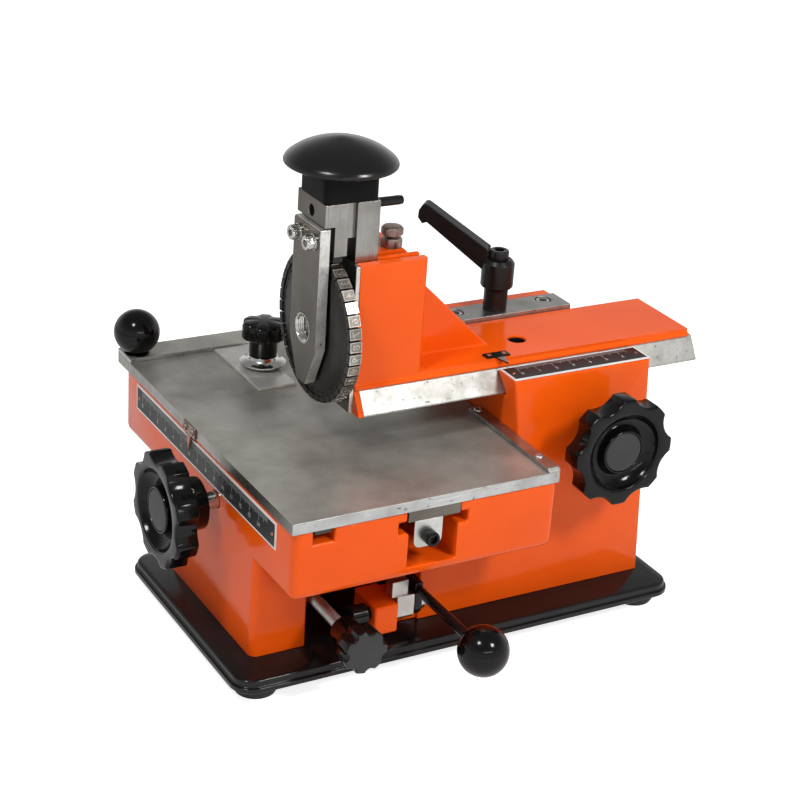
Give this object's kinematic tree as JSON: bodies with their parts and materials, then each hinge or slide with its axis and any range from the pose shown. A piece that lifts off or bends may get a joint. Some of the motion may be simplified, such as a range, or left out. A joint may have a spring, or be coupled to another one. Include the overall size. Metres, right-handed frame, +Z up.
{
  "type": "nameplate marking machine",
  "caption": "Bench machine that marks metal nameplates: a racked table slides under a dovetail arm whose spring-back plunger carries a rotating type wheel; lobed handwheels feed both slides.",
  "frame": {"origin": "centre of the overall box, on the surface the feet stand on", "axes": "+X to the right along the arm, +Y towards the back along the table travel, +Z up"},
  "size_m": [0.405, 0.3582, 0.361],
  "materials": {
    "orange_enamel": "glossy orange enamel",
    "black_enamel": "glossy black enamel",
    "gloss_black": "polished black moulding",
    "matt_black": "fine matt black",
    "rubber": "plain",
    "ground_steel": "ground, fine lengthwise grain",
    "bright_steel": "turned and polished",
    "zinc": "bright zinc plating",
    "dark_steel": "dark oiled steel",
    "scale_plate": "black anodised, bright edge"
  },
  "bodies": {
    "frame": {"Base_Pan": "black_enamel", "Foot_Front_Left": "rubber", "Foot_Front_Right": "rubber", "Foot_Back_Left": "rubber", "Foot_Back_Right": "rubber", "Frame_Casting": "orange_enamel", "Line_Scale": "scale_plate", "Column_Scale": "scale_plate", "Gib_Block": "ground_steel", "Gib_Screw_Left": "bright_steel", "Gib_Screw_Right": "bright_steel", "Lever_Bearing": "zinc"},
    "left_drive": {"Left_Handwheel": "gloss_black", "Left_Handwheel_Cap": "matt_black", "Left_Pinion_Shaft": "bright_steel"},
    "right_drive": {"Right_Handwheel": "gloss_black", "Right_Handwheel_Cap": "matt_black", "Right_Pinion_Shaft": "bright_steel"},
    "table": {"Table_Plate": "ground_steel", "Table_Keel": "ground_steel", "Table_Keel_Foot": "dark_steel", "Table_Rack": "dark_steel", "Table_Back_Rail": "ground_steel", "Table_Fence": "bright_steel", "Fence_Screw_Front": "zinc", "Fence_Screw_Back": "zinc", "Stop_Tab": "zinc", "Stop_Screw": "black_enamel", "Line_Pointer": "zinc", "Clamp_Strip": "bright_steel", "Clamp_Seat": "bright_steel", "Handle_Base": "gloss_black", "Handle_Ball": "gloss_black"},
    "clamp_knob": {"Clamp_Star_Knob": "gloss_black"},
    "arm": {"Arm_Dovetail": "ground_steel", "Arm_Rack": "dark_steel", "Head_Casting": "orange_enamel", "Head_Side_Plate": "bright_steel", "Column_Pointer": "zinc", "Stop_Bolt_Nut": "dark_steel", "Stop_Bolt": "dark_steel"},
    "plunger": {"Plunger_Column": "bright_steel", "Cross_Pin": "black_enamel", "Wheel_Bracket": "ground_steel", "Bracket_Screw_Front": "bright_steel", "Bracket_Screw_Back": "bright_steel", "Wheel_Axle": "bright_steel", "Index_Pawl": "black_enamel", "Knob_Base": "matt_black", "Press_Knob": "gloss_black"},
    "type_wheel": {"Type_Wheel": "dark_steel"},
    "gib_lever": {"Clamp_Lever": "matt_black", "Clamp_Lever_Screw": "black_enamel"},
    "hand_lever": {"Lever_Hub": "black_enamel", "Lever_Bolt": "zinc", "Lever_Collar": "black_enamel", "Lever_Rod": "black_enamel", "Lever_Ball": "gloss_black"},
    "stud_knob": {"Front_Stud": "bright_steel", "Front_Star_Knob": "matt_black"}
  },
  "joints": [
    {"name": "table_slide", "type": "slide", "parent": "frame", "child": "table", "axis": [0, 1, 0], "range_m": [-0.055, 0.06]},
    {"name": "left_wheel_turn", "type": "hinge", "parent": "frame", "child": "left_drive", "pos_m": [-0.1775, 0.00025, 0.11], "axis": [1, 0, 0], "range_deg": [-143.5, 131.5]},
    {"name": "clamp_knob_turn", "type": "hinge", "parent": "table", "child": "clamp_knob", "pos_m": [-0.0725, 0.11125, 0.169], "axis": [0, 0, 1], "range_deg": [-180, 180]},
    {"name": "arm_slide", "type": "slide", "parent": "frame", "child": "arm", "axis": [1, 0, 0], "range_m": [-0.01, 0.095]},
    {"name": "right_wheel_turn", "type": "hinge", "parent": "frame", "child": "right_drive", "pos_m": [0.1015, -0.08875, 0.1455], "axis": [0, 1, 0], "range_deg": [-22.1, 209.5]},
    {"name": "plunger_slide", "type": "slide", "parent": "arm", "child": "plunger", "axis": [0, 0, 1], "range_m": [-0.014, 0], "stiffness_N_per_m": 2500, "springref_m": 0.015},
    {"name": "type_wheel_turn", "type": "hinge", "parent": "plunger", "child": "type_wheel", "pos_m": [-0.0905, -0.00825, 0.231], "axis": [1, 0, 0], "continuous": true},
    {"name": "gib_lever_turn", "type": "hinge", "parent": "frame", "child": "gib_lever", "pos_m": [0.07825, 0.03925, 0.219], "axis": [0, 0, 1], "range_deg": [-35, 35]},
    {"name": "hand_lever_turn", "type": "hinge", "parent": "frame", "child": "hand_lever", "pos_m": [-0.0475, -0.06875, 0.039], "axis": [1, 0, 0], "range_deg": [-12, 12]},
    {"name": "stud_knob_turn", "type": "hinge", "parent": "frame", "child": "stud_knob", "pos_m": [-0.1085, -0.08875, 0.0505], "axis": [0, 1, 0], "range_deg": [-180, 180]}
  ],
  "couplings": [
    {"joint": "left_wheel_turn", "follows": "table_slide", "rad_per_m": -41.667},
    {"joint": "right_wheel_turn", "follows": "arm_slide", "rad_per_m": 38.462}
  ]
}
